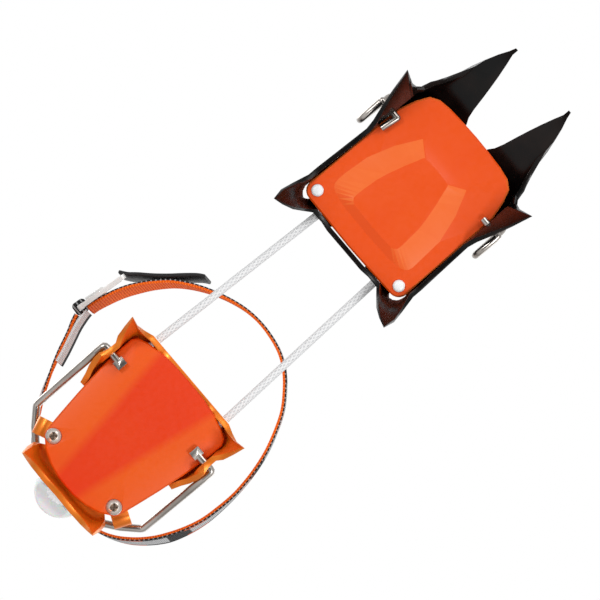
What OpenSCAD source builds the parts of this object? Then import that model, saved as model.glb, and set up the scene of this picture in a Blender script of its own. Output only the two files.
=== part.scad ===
// Strap-on crampon: steel front section, aluminium heel section, cord link, toe bail and heel lever.
// Millimetres. X runs from heel to toe, Z from the snow up to the boot, and Z = 0 is the sole plane.

/* [Front section] */
// Sheet thickness of the steel front frame
steel_t = 2.5; // [2:0.1:3]
// Length of the front platform between its bend lines
front_len = 74; // [68:1:84]
// Half width of the front platform at its bend lines
front_half = 34; // [32:0.5:37]
// Depth of the long side rails of the front frame
rail_depth = 12.5; // [12:0.25:14]
// Reach of the two front points past the platform
point_reach = 51.5; // [44:0.5:58]
// Drop of the two front points below the sole
point_drop = 25; // [18:0.5:30]
// Distance from the front section's rear bend line back to the heel section's front bend line
section_gap = 110.5; // [100:0.5:130]

/* [Heel section] */
// Sheet thickness of the aluminium heel frame
alloy_t = 3; // [2.5:0.1:3.5]
// Length of the heel platform between its bend lines
heel_len = 77; // [72:1:86]
// Half width of the heel platform at its front
heel_half = 33.5; // [32:0.5:36]
// Half width of the heel platform at its back
heel_back_half = 20; // [18:0.5:23]

/* [Points and bends] */
// Depth of the eight downward points below the sole
point_depth = 36; // [32:0.5:40]
// Outer bend radius of both frames
bend_r = 5; // [4:0.25:6]

/* [Snow shells] */
// Wall of the moulded snow shells
shell_wall = 1.8; // [1.2:0.1:2.4]
// Depth of the shells' flat rim below the sole
shell_rim = 11; // [10.6:0.1:11.2]
// Depth of the front shell's raised panel below its rim
panel_rise = 2.6; // [1:0.1:4]

/* [Toe bail] */
// Wire diameter of the toe bail
toe_wire = 3.5; // [3:0.1:4]
// Height of the toe bail's crossbar above the sole
bail_height = 37; // [30:1:46]
// Distance between the working hole and the spare hole
bail_hole_pitch = 8.6; // [8:0.1:10]

/* [Heel wire and lever] */
// Wire diameter of the heel wire
heel_wire_d = 4; // [3.6:0.1:4.4]
// Width of the heel lever
lever_w = 28; // [26:0.5:32]
// Body thickness of the heel lever
lever_t = 9; // [8.5:0.25:10]
// Backward lean of the heel lever in degrees
lever_lean = 10; // [6:1:12]
// Diameter of the adjusting wheel
wheel_d = 15; // [13:0.5:17]
// Diameter of the adjusting screw
screw_d = 4; // [3.5:0.1:4.5]

/* [Link cord] */
// Diameter of the link cord
cord_d = 4; // [3.5:0.1:4.4]
// Travel of the length adjustment
adjust_travel = 45; // [30:1:48]

/* [Strap] */
// Width of the ankle strap
strap_w = 15; // [13:0.5:16]
// Thickness of the ankle strap
strap_t = 2; // [1.6:0.1:2.2]

/* [Fits] */
// Play between pieces that move or that are laid beside each other
gap = 0.3; // [0.2:0.05:0.4]
// Radial play of a pin in its hole
pin_play = 0.05; // [0.03:0.01:0.08]

/* [Hidden] */
$fn = 48;
eps = 0.01;

// Places along the crampon
front_x = 38;                            // rear bend line of the front platform
toe_x = front_x + front_len;             // front bend line of the front platform
heel_x = front_x - section_gap;          // front bend line of the heel platform
back_x = heel_x - heel_len;              // rear bend line of the heel platform
pivot_z = -13.4;                         // height of both wires' pivots, under the shells' rims
pivot_x = toe_x - 16;                    // toe bail's working hole
spare_x = pivot_x + bail_hole_pitch;     // toe bail's spare hole
wire_x = heel_x - 16.5;                  // heel wire's holes
cord_z = -6.1;                            // height of the link cord
cord_front_y = 21.9;                     // half spacing of the cord at the front frame
cord_back_y = 26;                        // half spacing of the cord at the heel frame
fold_x = heel_x + bend_r + cord_d / 2 + gap;  // fold line, just outside the heel frame

// Small vector helpers
function flip(p) = [for (i = [len(p) - 1:-1:0]) p[i]];
function unit(v) = v / norm(v);

// Solid lofted through closed loops that all have the same number of points.
// sheet is true where a loop runs out along one side of a sheet and back along the other.
module loft(loops, sheet = false) {
    count = len(loops[0]);
    rows = len(loops);
    cap = sheet ? [for (k = [0:count / 2 - 2]) [k, k + 1, count - 2 - k, count - 1 - k]] : [[for (k = [0:count - 1]) k]];
    polyhedron(
        points = [for (l = loops) each l],
        faces = concat(
            cap,
            [for (f = cap) [for (k = flip(f)) (rows - 1) * count + k]],
            [for (r = [0:rows - 2], k = [0:count - 1])
                let(a = r * count + k, b = r * count + (k + 1) % count)
                [a, a + count, b]],
            [for (r = [0:rows - 2], k = [0:count - 1])
                let(a = r * count + k, b = r * count + (k + 1) % count)
                [b, a + count, b + count]]),
        convexity = 10);
}

// Cross-section of bent sheet in (out, up), from a flat margin round the bend to its lower edge.
// reach and depth place the lower edge, margin is the flat part and knee is where the sheet may kink.
function bend_angle(reach, depth) =
    atan2(reach, bend_r - depth) - acos(bend_r / norm([reach, bend_r - depth]));
function sheet_section(reach, depth, t, tip_t, margin, knee) =
    let(a = knee > 0 ? 90 : bend_angle(reach, depth),
        bend = [for (i = [0:3]) let(q = a * i / 3) bend_r * [sin(q), cos(q) - 1]],
        tail = [reach, -depth],
        mid = knee > 0 ? [bend_r, -knee] : (bend[3] + tail) / 2,
        down = unit(tail - mid),
        inward = [down[1], -down[0]],
        knee_in = knee > 0 ? unit(inward + [-1, 0]) : inward)
    concat(
        [[-margin, 0]], bend, [mid, tail],
        [tail + tip_t * inward, mid + t * knee_in],
        [for (i = [3:-1:0]) let(q = a * i / 3) [(bend_r - t) * sin(q), (bend_r - t) * cos(q) - bend_r]],
        [[-margin, -t]]);

// A station is [bend line point, lower edge point, depth, edge thickness, knee depth]
function station_loop(s, t, margin) =
    let(out = s[1] - s[0], n = unit(out))
    [for (q = sheet_section(norm(out), s[2], t, s[3], margin, s[4])) [s[0][0] + n[0] * q[0], s[0][1] + n[1] * q[0], q[1]]];

// Bent skirt along the stations and their mirror images; turn is true where they run anticlockwise
margin = 1.2;
function loop_mirror(loop) = [for (p = loop) [p[0], -p[1], p[2]]];
module skirt(stations, t, turn = false, last = []) {
    right = concat([for (s = stations) station_loop(s, t, margin)], last);
    line = concat([for (i = [len(right) - 1:-1:1]) loop_mirror(right[i])], right);
    loft(turn ? line : flip(line), true);
}

// Front frame

// Stations of the front frame's skirt, from the middle of its rear edge round to the toe
corner_r = 5;
function front_corner(a) = [front_x + corner_r + corner_r * cos(a), front_half - corner_r + corner_r * sin(a)];
front_stations = [
    [[front_x, 0], [front_x - 5.2, 0], rail_depth, steel_t, 0],
    [[front_x, 13], [front_x - 5.3, 13], rail_depth, steel_t, 0],
    [[front_x + 0.5, 18], [front_x - 4.6, 18], rail_depth + 1.5, steel_t, 0],
    [[front_x + 0.5, 24], [front_x - 4.8, 24.5], rail_depth + 3, steel_t, 0],
    [[front_x, front_half - 6], [front_x - 8.6, front_half - 5.2], rail_depth + 8, 2, 0],
    [front_corner(168), [front_x - 11.4, front_half - 1.9], rail_depth + 13, 1.8, 0],
    [front_corner(154), [front_x - 13.8, front_half + 3.2], point_depth - 4, 1.4, 0],
    [front_corner(142), [front_x - 15.2, front_half + 8.3], point_depth, 0.8, 0],
    [front_corner(128), [front_x - 9.4, front_half + 9.5], rail_depth + 15, 1.6, 0],
    [front_corner(110), [front_x - 2.9, front_half + 8.3], rail_depth + 7, 2, 0],
    [[front_x + 6, front_half], [front_x + 6, front_half + 6.3], rail_depth + 1.5, steel_t, 0],
    [[front_x + 12, front_half + 0.6], [front_x + 12, front_half + 6.3], rail_depth, steel_t, 0],
    [[front_x + 24, front_half + 0.5], [front_x + 24, front_half + 5.8], rail_depth, steel_t, 0],
    [[front_x + 34, front_half + 0.2], [front_x + 34, front_half + 5.4], rail_depth, steel_t, 0],
    [[toe_x - 31, front_half], [toe_x - 31, front_half + 5.05], rail_depth + 1, steel_t, rail_depth - 2],
    [[toe_x - 26, front_half], [toe_x - 26, front_half + 6], rail_depth + 5, steel_t, rail_depth + 1],
    [[toe_x - 19, front_half], [toe_x - 18, front_half + 8.6], rail_depth + 10, steel_t, rail_depth + 4],
    [[toe_x - 12, front_half], [toe_x - 8, front_half + 11.4], rail_depth + 16.5, 1.8, rail_depth + 4],
    [[toe_x - 6, front_half], [toe_x + 3.2, front_half + 14], point_depth, 0.8, rail_depth + 4],
    [[toe_x - 4, front_half], [toe_x + 2.1, front_half + 10.6], rail_depth + 13, 1.2, rail_depth + 4],
    [[toe_x - 2.5, front_half], [toe_x + 1, front_half + 7.3], rail_depth + 6, 1.4, rail_depth + 1],
    [[toe_x - 1, front_half - 0.3], [toe_x + 1.6, front_half + 4.9], rail_depth, 1.8, rail_depth - 2],
    [[toe_x + 1.5, front_half - 2], [toe_x + 3.5, front_half + 3.2], rail_depth - 0.4, 1.8, rail_depth - 2.4]];

// Rows of one front point: [x, inner edge y, bend line y, outer edge y, sag, edge depth, thickness]
point_rows = [
    [toe_x + 4, 6.8, front_half - 4.9, front_half + 3.2, 0, rail_depth - 0.8, 1],
    [toe_x + 8.6, 8.2, front_half - 6.6, front_half + 2, 0.06, rail_depth - 1.4, 1],
    [toe_x + 11.4, 10, front_half - 8, front_half + 0.6, 0.13, 8.4, 1],
    [toe_x + 16, 11.4, front_half - 9.4, front_half - 1.3, 0.26, 6.4, 1],
    [toe_x + 23.5, 13, front_half - 10.4, front_half - 4, 0.45, 3.4, 1],
    [toe_x + 30, 14.5, front_half - 11, front_half - 5.4, 0.61, 1.4, 1],
    [toe_x + 36, 16, front_half - 11.6, front_half - 7.2, 0.74, 0.4, 1],
    [toe_x + 43, 18, front_half - 12.4, front_half - 9.6, 0.88, 0.1, 0.8],
    [toe_x + point_reach - 3.5, 19.6, front_half - 13, front_half - 11.8, 0.96, 0, 0.6],
    [toe_x + point_reach, 20.6, front_half - 13.2, front_half - 12.9, 1, 0, 0.3]];

// Cross-section of a front point in (y, z): flat web, rolled outer margin, constant thickness
function roll(a, b, c, u) = (1 - u) * (1 - u) * a + 2 * u * (1 - u) * b + u * u * c;
function point_section(r) =
    let(z = -r[4] * point_drop,
        t = steel_t * r[6],
        rolled = min(1, r[5] / (1.4 * steel_t)),
        line = concat(
            [[r[1], z], [r[2] - margin, z]],
            [for (i = [0:5]) roll([r[2], z], [r[3], z], [r[3], z - r[5] - eps], i / 5)]),
        count = len(line))
    concat(line,
        [for (i = [count - 1:-1:0])
            let(along = i < 3 ? [1, 0] : unit(line[min(i + 1, count - 1)] - line[i - 1]))
            line[i] + t * unit(rolled * [along[1], -along[0]] + (1 - rolled) * [0, -1])]);
function row_loop(r) = [for (q = point_section(r)) [r[0], q[0], q[1]]];
// The skirt's last loop is the margin of the point's first row
point_margin = let(l = row_loop(point_rows[0])) [for (i = [1:len(l) - 2]) l[i]];
module front_point() {
    loft([for (r = flip(point_rows)) row_loop(r)], true);
}

// Flat platform, whose edge is the inner edge of the skirt's flat margin
function inner_edge(stations) = [for (s = stations) let(n = unit(s[1] - s[0])) [s[0][0] - n[0] * margin, s[0][1] - n[1] * margin]];
// The half outline and its mirror image as one loop, with no point twice
function whole(half) = concat(half, [for (i = [len(half) - 1:-1:0]) if (half[i][1] > 0) [half[i][0], -half[i][1]]]);
platform_half = concat(inner_edge(front_stations), [[toe_x + 4, front_half - 4.9 - margin], [toe_x + 4, 6.8], [toe_x + 5.8, 4.4]]);

// Window with round ends, from one x to another at a given y
module slot(x0, x1, y, w) {
    translate([x0, y - w / 2]) square([x1 - x0, w]);
    for (x = [x0, x1]) translate([x, y]) circle(d = w);
}

// Long guide slots that the adjuster's studs slide in, with the notches that hold the length
guide_w = cord_d + 1;
guide_y = cord_front_y - 3.5;
notch_pitch = 7.5;
module guide_slot() {
    slot(front_x + 7, front_x + 12 + adjust_travel, guide_y, guide_w);
    for (i = [0:floor(adjust_travel / notch_pitch)])
        translate([front_x + 7 + i * notch_pitch, guide_y + guide_w / 2]) circle(d = 3.4);
}

module platform_windows() {
    slot(front_x + 14, front_x + 44, 0, 17);
    for (turn = [0, 1]) mirror([0, turn]) {
        guide_slot();
        translate([toe_x - 6, 17]) circle(d = 9);
    }
}

cord_hole_y = cord_front_y + 0.9;
rail_splay = 0.5;
module front_frame() color("dimgray") {
    difference() {
        union() {
            skirt(front_stations, steel_t, last = [point_margin]);
            front_point();
            mirror([0, 1, 0]) front_point();
            translate([0, 0, -steel_t]) linear_extrude(steel_t) polygon(flip(whole(platform_half)));
        }
        translate([0, 0, -steel_t - 1]) linear_extrude(steel_t + 2) platform_windows();
        translate([front_x - bend_r - 0.2 + steel_t, -13, -rail_depth]) cube([5, 26, rail_depth + 1]);
        for (side = [-1, 1]) {
            translate([front_x + 0.5, side * (front_half + 0.7), -bend_r - 4]) cylinder(r = 4.2, h = bend_r + 6);
            translate([rivet_x, side * rivet_y, -steel_t - 1]) cylinder(r = rivet_shank_r + pin_play, h = steel_t + 2);
            // The spare holes follow the rails, which open by half a degree towards the toe
            for (hole = [[pivot_x, 0], [spare_x, rail_splay]]) translate([hole[0], side * (front_half + bend_r + 1), pivot_z])
                rotate([0, 0, side * hole[1]]) rotate([side * 90, 0, 0]) cylinder(r = toe_wire / 2 + pin_play, h = steel_t + 2);
            hull() for (y = [cord_hole_y - 1, cord_hole_y + 1.4])
                translate([front_x - bend_r - 3, side * y, cord_z])
                    rotate([0, 90, 0]) cylinder(r = cord_d / 2 + gap, h = 12, $fn = 24);
        }
    }
}

// Snow shells

// Half outline of the front shell, from the middle of its rear edge to the middle of its front edge
rivet_x = front_x + 4.2;
rivet_y = front_half - 2.6;
rivet_shank_r = 2;
rivet_head_r = 3.1;
tab_r = 5.7;
front_outline = concat(
    [[front_x - 2.3, 0], [front_x - 2.1, 12], [front_x - 1.7, rivet_y - 5]],
    [for (a = [180:-18:90]) [rivet_x + tab_r * cos(a), rivet_y + tab_r * sin(a)]],
    [[rivet_x + 8, front_half + 2.8], [toe_x - 42, front_half + 2.7], [toe_x - 19, front_half + 2.5],
     [toe_x - 12, front_half + 2.1], [toe_x - 3, front_half - 0.4], [toe_x + 3.3, front_half - 3.4],
     [toe_x + 6.2, front_half - 8], [toe_x + 7.3, front_half - 15], [toe_x + 7.8, 9], [toe_x + 8, 0]]);

// Half outline of the heel shell, from the middle of its front edge to the middle of its rear edge
heel_outline = [
    [heel_x + 3.9, 0], [heel_x + 3.6, 12], [heel_x + 2.2, 22], [heel_x + 0.4, 29], [heel_x - 1.4, 33],
    [heel_x - 4.5, heel_half + 1.5], [heel_x - 14, heel_half + 1.4], [heel_x - 26, heel_half + 0.6],
    [heel_x - 43, heel_half - 1.6], [heel_x - 56, heel_half - 3.6], [heel_x - 64, heel_half - 5],
    [heel_x - 69, heel_half - 7.5], [back_x + 4.2, heel_half - 12.5], [back_x + 1.3, heel_half - 20],
    [back_x - 0.2, heel_half - 28], [back_x - 0.3, 0]];

// Closed outline moved inwards by d at every corner
function inset(loop, d) =
    let(count = len(loop))
    [for (i = [0:count - 1])
        let(a = unit(loop[i] - loop[(i + count - 1) % count]),
            b = unit(loop[(i + 1) % count] - loop[i]),
            n = unit([a[1] + b[1], -a[0] - b[0]]))
        loop[i] + d * n];
function ring(loop, d, z) = [for (p = inset(loop, d)) [p[0], p[1], z]];
function scaled_ring(loop, c, k, z) = [for (p = loop) [c[0] + (p[0] - c[0]) * k, c[1] + (p[1] - c[1]) * k, z]];

// One face of a moulded tray, from the top of its wall down to the lip and in over the floor.
// floors are [outline, depth below the rim]; wall = 0 gives the outside and the real wall the inside.
shell_lip = 2.4;
function tray_face(loop, c, half, top, slope, floors, wall) = concat(
    [[for (p = loop) [c[0] + (p[0] - c[0]) * (1 - (slope + wall) / half[0]), p[1] * (1 - (slope + wall) / half[1]), top]],
     ring(loop, wall, -shell_rim + shell_lip + (wall > 0 ? 0.2 : 0)),
     ring(loop, wall, -shell_rim + (wall > 0 ? wall + 0.1 : 0.8)),
     ring(loop, 0.8 + wall, -shell_rim + wall)],
    [for (f = floors) [for (p = f[0]) [p[0], p[1], -shell_rim - f[1] + wall]]]);
module tray(loop, c, half, top, slope, floors) {
    loft(concat(flip(tray_face(loop, c, half, top, slope, floors, shell_wall)),
        tray_face(loop, c, half, top, slope, floors, 0)));
}
function scaled(loop, c, k) = [for (p = loop) [c[0] + (p[0] - c[0]) * k, c[1] + (p[1] - c[1]) * k]];

// Raised panel of the front shell: its outer edge at the rim and its inner edge at full height,
// each with as many points as the shell's half outline
panel_outer = [for (p = [[8.6, 0], [8.8, 10], [9.1, 18], [9.6, 21.5], [10.4, 25], [11.6, 27.2], [13, 28.4], [15.5, 28.9],
    [20, 29], [25, 28.6], [34, 27.8], [41, 25.6], [48, 23.4], [53.5, 20.6], [58, 18.4], [61, 16.8], [61.4, 15], [61.7, 8],
    [61.8, 0]]) [front_x + p[0], p[1]]];
panel_inner = [for (p = [[13.2, 0], [13.3, 8], [13.6, 14], [14.2, 15.4], [15.5, 16.8], [17, 17], [19, 17], [22, 16.9],
    [26, 16.5], [30, 16.2], [36, 15], [41, 13.6], [46, 12.2], [50, 10.8], [54.6, 9.4], [55.6, 8.8], [55.8, 7], [56, 3.5],
    [56.1, 0]]) [front_x + p[0], p[1]]];

// Notches in a shell's end wall for the two legs of the cord
module cord_notches(x, length, y0, y1, low, top) {
    for (side = [0, 1]) mirror([0, side, 0]) translate([x, y0, low]) cube([length, y1 - y0, top - low + 1]);
}

module front_snow_shell() color("orangered") {
    difference() {
        union() {
            tray(whole(front_outline), [(front_x + toe_x) / 2 + 3, 0], [42, 37], -steel_t - 0.2, 3.6,
                [[whole(panel_outer), 0.3], [whole(panel_inner), panel_rise]]);
            for (side = [-1, 1]) translate([rivet_x, side * rivet_y, -shell_rim + 0.4])
                cylinder(r = tab_r - 1, h = shell_rim - steel_t - 0.4);
        }
        for (side = [-1, 1]) translate([rivet_x, side * rivet_y, -shell_rim - 2])
            cylinder(r = rivet_shank_r + pin_play, h = shell_rim + 4);
        for (side = [-1, 1]) translate([rivet_x, side * rivet_y, -shell_rim - 3])
            cylinder(r = rivet_head_r + gap, h = 3);
        cord_notches(front_x - 3, 12, cord_front_y - 3.2, cord_hole_y + 4.2, cord_z - cord_d / 2 - 2 * gap, -steel_t);
    }
}

module heel_snow_shell() color("orangered") {
    loop = flip(whole(heel_outline));
    middle = [(heel_x + back_x) / 2 + 2, 0];
    difference() {
        union() {
            tray(loop, middle, [40, 35], -alloy_t - 0.2, 6.6,
                [[scaled(loop, middle, 0.84), 0.5], [scaled(loop, middle, 0.6), 1.3], [scaled(loop, middle, 0.3), 1.7]]);
            for (side = [-1, 1]) translate([screw_x, side * screw_y, -shell_rim + 0.4])
                cylinder(r = 4.6, h = shell_rim - alloy_t - 0.4);
        }
        for (side = [-1, 1]) translate([screw_x, side * screw_y, -shell_rim - 3])
            cylinder(r = m4_r + pin_play, h = shell_rim + 4);
        for (side = [-1, 1]) translate([screw_x, side * screw_y, -shell_rim - 3])
            cylinder(r = m4_head_r + gap, h = 3);
        cord_notches(heel_x - 8.8, 14.8, cord_back_y - 4.3, cord_back_y + 4.4, -shell_rim + shell_wall + 0.1, -alloy_t);
    }
}

// Rivets and screws that hold the shells

module front_rivets() color("whitesmoke") {
    for (side = [-1, 1]) translate([rivet_x, side * rivet_y, -shell_rim]) {
        translate([0, 0, -1.6]) intersection() {
            translate([0, 0, 3.4]) sphere(r = 4);
            cylinder(r = rivet_head_r, h = 1.6);
        }
        cylinder(r = rivet_shank_r, h = shell_rim);
    }
}

module front_rivet_caps() color("whitesmoke") {
    for (side = [-1, 1]) translate([rivet_x, side * rivet_y, 0]) difference() {
        intersection() {
            translate([0, 0, -3]) sphere(r = 4.1);
            cylinder(r = rivet_head_r - 0.4, h = 1.2);
        }
        translate([0, 0, -1]) cylinder(r = rivet_shank_r * 0.5, h = 1.6);
    }
}

// Pan-head screws through the heel shell, with a cross recess, and press nuts on the platform
screw_x = back_x + 11.5;
screw_y = 23.4;
m4_r = 2;
m4_head_r = 4;
module shell_screws() color("silver") {
    for (side = [-1, 1]) translate([screw_x, side * screw_y, -shell_rim]) difference() {
        union() {
            translate([0, 0, -2.6]) intersection() {
                translate([0, 0, 5]) sphere(r = 5);
                cylinder(r = m4_head_r, h = 2.6);
            }
            cylinder(r = m4_r, h = shell_rim + 0.8);
        }
        for (a = [45, 135]) rotate([0, 0, a]) translate([-2.1, -0.55, -3]) cube([4.2, 1.1, 2]);
    }
}

module shell_nuts() color("silver") {
    for (side = [-1, 1]) translate([screw_x, side * screw_y, 0]) difference() {
        intersection() {
            cylinder(r = 4.4, h = 1.4);
            translate([0, 0, -6]) sphere(r = 7.5);
        }
        translate([0, 0, -1]) cylinder(r = m4_r + pin_play, h = 4);
    }
}

// Bent round wire along hand-placed points, rounded at its corners
function corner_arc(a, b, c, r) =
    let(u = unit(a - b), v = unit(c - b),
        half = acos(max(-1, min(1, u * v))) / 2,
        back = min(r / tan(half), 0.48 * norm(a - b), 0.48 * norm(c - b)))
    half > 89 ? [b] : [for (k = [0:3]) roll(b + back * u, b, b + back * v, k / 3)];
function rounded(line, r) = concat(
    [line[0]],
    [for (i = [1:len(line) - 2]) each corner_arc(line[i - 1], line[i], line[i + 1], r)],
    [line[len(line) - 1]]);
function frame_step(side, along) = unit(side - (side * along) * along);
function frames(line, i, side) =
    i == len(line) ? [] :
    let(along = unit(line[min(i + 1, len(line) - 1)] - line[max(i - 1, 0)]),
        s = frame_step(side, along))
    concat([[line[i], s, cross(along, s)]], frames(line, i + 1, s));
module tube(line, d, side, sides = 12) {
    loft([for (f = frames(line, 0, side))
        [for (k = [0:sides - 1]) f[0] + d / 2 * (cos(360 * k / sides) * f[1] + sin(360 * k / sides) * f[2])]]);
}

// Toe bail: pins through the side flanges, arms outside them and a bar over the toe of the boot
bail_arm_y = front_half + bend_r + toe_wire / 2 + 3.8;
bail_route = [
    [pivot_x, bail_arm_y - 0.6, pivot_z], [pivot_x - 1.2, bail_arm_y + 0.2, pivot_z], [pivot_x - 15, bail_arm_y, pivot_z + 0.5],
    [pivot_x - 14, bail_arm_y, 6], [pivot_x + 5, bail_arm_y - 0.5, bail_height - 10],
    [pivot_x + 15, front_half - 3, bail_height - 1], [pivot_x + 18, front_half - 12, bail_height], [pivot_x + 18.5, 0, bail_height]];
module toe_bail() color("silver") {
    for (side = [-1, 1]) {
        translate([pivot_x, side * (front_half - 1), pivot_z]) rotate([-side * 90, 0, 0])
            cylinder(d = toe_wire, h = bail_arm_y - front_half + 1);
        translate([pivot_x, side * bail_arm_y, pivot_z]) sphere(d = toe_wire);
    }
    half = rounded(bail_route, 6);
    tube(concat(half, [for (i = [len(half) - 2:-1:0]) [half[i][0], -half[i][1], half[i][2]]]), toe_wire, [0, 0, 1]);
    // Hook on the inner end of one pin, turned back so that the wire can't leave its hole
    translate([pivot_x, -front_half + 1, pivot_z]) sphere(d = toe_wire);
    translate([pivot_x, -front_half + 1, pivot_z]) rotate([0, -90, 8]) cylinder(d = toe_wire, h = 9.5);
}

// Link cord: two straight legs from the adjuster under the front platform to the heel frame
bar_x = front_x + 7;
socket_depth = 5;
function cord_y(x) = cord_front_y + (cord_back_y - cord_front_y) * (front_x - bend_r - x) / (front_x - bend_r - fold_x);
module along_cord(side) {
    turn = atan2(cord_y(bar_x) - cord_back_y, bar_x - fold_x);
    translate([fold_x, side * cord_back_y, cord_z]) rotate([0, 90, side * turn]) children();
}
cord_len = norm([bar_x + socket_depth - fold_x, cord_back_y - cord_y(bar_x)]);
module link_cord() color("white") {
    for (side = [-1, 1]) along_cord(side) {
        sphere(d = cord_d);
        cylinder(d = cord_d, h = cord_len - 1);
    }
}

// Crimped ferrules on the cord's ends, inside the adjuster bar
ferrule_d = cord_d + 1.6;
module cord_ferrules() color("silver") {
    for (side = [-1, 1]) along_cord(side) difference() {
        translate([0, 0, cord_len - socket_depth + 1]) cylinder(d = ferrule_d, h = socket_depth - 0.5);
        translate([0, 0, cord_len - socket_depth - 2]) cylinder(d = cord_d + 2 * pin_play, h = socket_depth + 1 - 0.5 + 2);
    }
}

// Adjuster bar: holds both cord ends and slides under the platform, its studs in the guide slots
bar_h = shell_rim - shell_wall - steel_t - 2 * gap;
bar_len = 9;
module adjuster_bar() color("gray") {
    top = -steel_t - gap;
    difference() {
        union() {
            translate([bar_x, -cord_y(bar_x) - 5, top - bar_h]) cube([bar_len, 2 * cord_y(bar_x) + 10, bar_h]);
            for (side = [-1, 1]) translate([bar_x + bar_len / 2, side * guide_y, top - 1])
                cylinder(d = cord_d, h = steel_t + gap + 1.8);
        }
        for (side = [-1, 1]) along_cord(side) {
            translate([0, 0, cord_len - socket_depth - 6]) cylinder(d = cord_d + 2 * gap, h = 12);
            translate([0, 0, cord_len - socket_depth + 1 - gap]) cylinder(d = ferrule_d + 2 * pin_play, h = 10);
        }
        translate([bar_x - 1, -12, top - bar_h - 1]) cube([bar_len + 2, 24, bar_h - 2]);
    }
}

// Knots inside the heel frame's front flange, each with the stub of cord that fills its hole
knot_r = 2.7;
knot_profile = [[0, -5.2], [1.5, -5.2], [2.4, -4.4], [knot_r, -3.2], [2.3, -2], [knot_r, -0.8], [2.4, 0.4],
    [cord_d / 2, 1.2], [cord_d / 2, bend_r - 0.1], [0, bend_r - 0.1]];
module cord_knots() color("white") {
    for (side = [-1, 1]) translate([heel_x, side * cord_back_y, cord_z]) rotate([0, 90, 0])
        rotate_extrude() polygon(knot_profile);
}

// Heel frame

function heel_corner(a) = [heel_x - corner_r + corner_r * cos(a), heel_half - corner_r + corner_r * sin(a)];
heel_front_stations = [
    [[heel_x, 0], [heel_x + 5.1, 0], 6.6, alloy_t, 0],
    [[heel_x, 15], [heel_x + 5.1, 15], 6.6, alloy_t, 0],
    [[heel_x, 20], [heel_x + 5.1, 20], 8, alloy_t, 0],
    [[heel_x, 23], [heel_x + 5.15, 23], rail_depth - 1, alloy_t, 0],
    [[heel_x, heel_half - 5], [heel_x + 5.2, heel_half - 4.5], rail_depth, alloy_t, 0],
    [heel_corner(14), [heel_x + 3.6, heel_half + 0.1], rail_depth + 3, 2.6, 0],
    [heel_corner(30), [heel_x + 2.6, heel_half + 4.7], rail_depth + 12, 2, 0],
    [heel_corner(44), [heel_x + 3.7, heel_half + 9.6], point_depth, 1, 0],
    [heel_corner(62), [heel_x - 2.5, heel_half + 8.6], rail_depth + 14, 2, 0],
    [heel_corner(82), [heel_x - 8.4, heel_half + 7.2], rail_depth + 8, alloy_t, 0],
    [[wire_x + 5, heel_half], [wire_x + 5, heel_half + 5.2], rail_depth + 6, alloy_t, rail_depth + 3.8],
    [[wire_x, heel_half], [wire_x, heel_half + 5.3], rail_depth + 5.5, alloy_t, rail_depth + 3.8],
    [[wire_x - 4.5, heel_half], [wire_x - 4.5, heel_half + 6.8], rail_depth + 5.5, alloy_t, rail_depth + 3.8],
    [[wire_x - 8, heel_half], [wire_x - 8, heel_half + 6.6], rail_depth + 3, alloy_t, 0],
    [[wire_x - 12, heel_half - 0.2], [wire_x - 12.5, heel_half + 5.4], rail_depth - 1, alloy_t, 0],
    [[wire_x - 16, heel_half - 1.6], [wire_x - 16.5, heel_half + 3.5], 9, alloy_t, 0],
    [[wire_x - 21, heel_half - 3.2], [wire_x - 21.4, heel_half + 1.8], 6.4, alloy_t, 0]];
heel_back_stations = [
    [[back_x, 0], [back_x - 6.9, 0], rail_depth + 3, alloy_t, 0],
    [[back_x, 10], [back_x - 7.1, 10], rail_depth + 3.5, alloy_t, 0],
    [[back_x + 0.2, heel_back_half - 4], [back_x - 6.7, heel_back_half - 1], rail_depth + 8.5, alloy_t, 0],
    [[back_x + 0.8, heel_back_half - 0.5], [back_x - 6.1, heel_back_half + 3.5], rail_depth + 15, 2.2, 0],
    [[back_x + 2, heel_back_half + 1.5], [back_x - 5.3, heel_back_half + 7.2], point_depth, 1, 0],
    [[back_x + 3.6, heel_back_half + 2.8], [back_x - 1.6, heel_back_half + 8], rail_depth + 9, 2.2, 0],
    [[back_x + 5, heel_back_half + 3.6], [back_x + 2, heel_back_half + 7.6], rail_depth - 2, alloy_t, 0]];
heel_platform_half = concat(inner_edge(heel_front_stations),
    [[heel_x - 48, heel_half - 3.4], [heel_x - 60, heel_half - 5.4], [back_x + 15, heel_back_half + 8],
     [back_x + 7, heel_back_half + 5]],
    flip(inner_edge(heel_back_stations)));

// Side tab bent up beside the boot's heel; the heel wire rests on the two of them
tab_top = 6;
tab_w = 9;
module side_tab() {
    inner_r = bend_r - alloy_t;
    translate([back_x + 10.4, heel_back_half + 9.4, 0]) rotate([0, 0, 114]) rotate([90, 0, 0])
        translate([0, 0, -tab_w / 2]) linear_extrude(tab_w) {
            polygon([[-7, -0.06], [-7, 0.06 - alloy_t], [eps, -alloy_t], [eps, 0]]);
            difference() {
                translate([0, inner_r]) circle(r = bend_r);
                translate([0, inner_r]) circle(r = inner_r);
                translate([-2 * bend_r, -2 * bend_r]) square([2 * bend_r, 4 * bend_r]);
                translate([-bend_r, inner_r]) square([3 * bend_r, 2 * bend_r]);
            }
            translate([inner_r, inner_r - eps]) square([alloy_t, tab_top - inner_r + eps]);
        }
}

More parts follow.
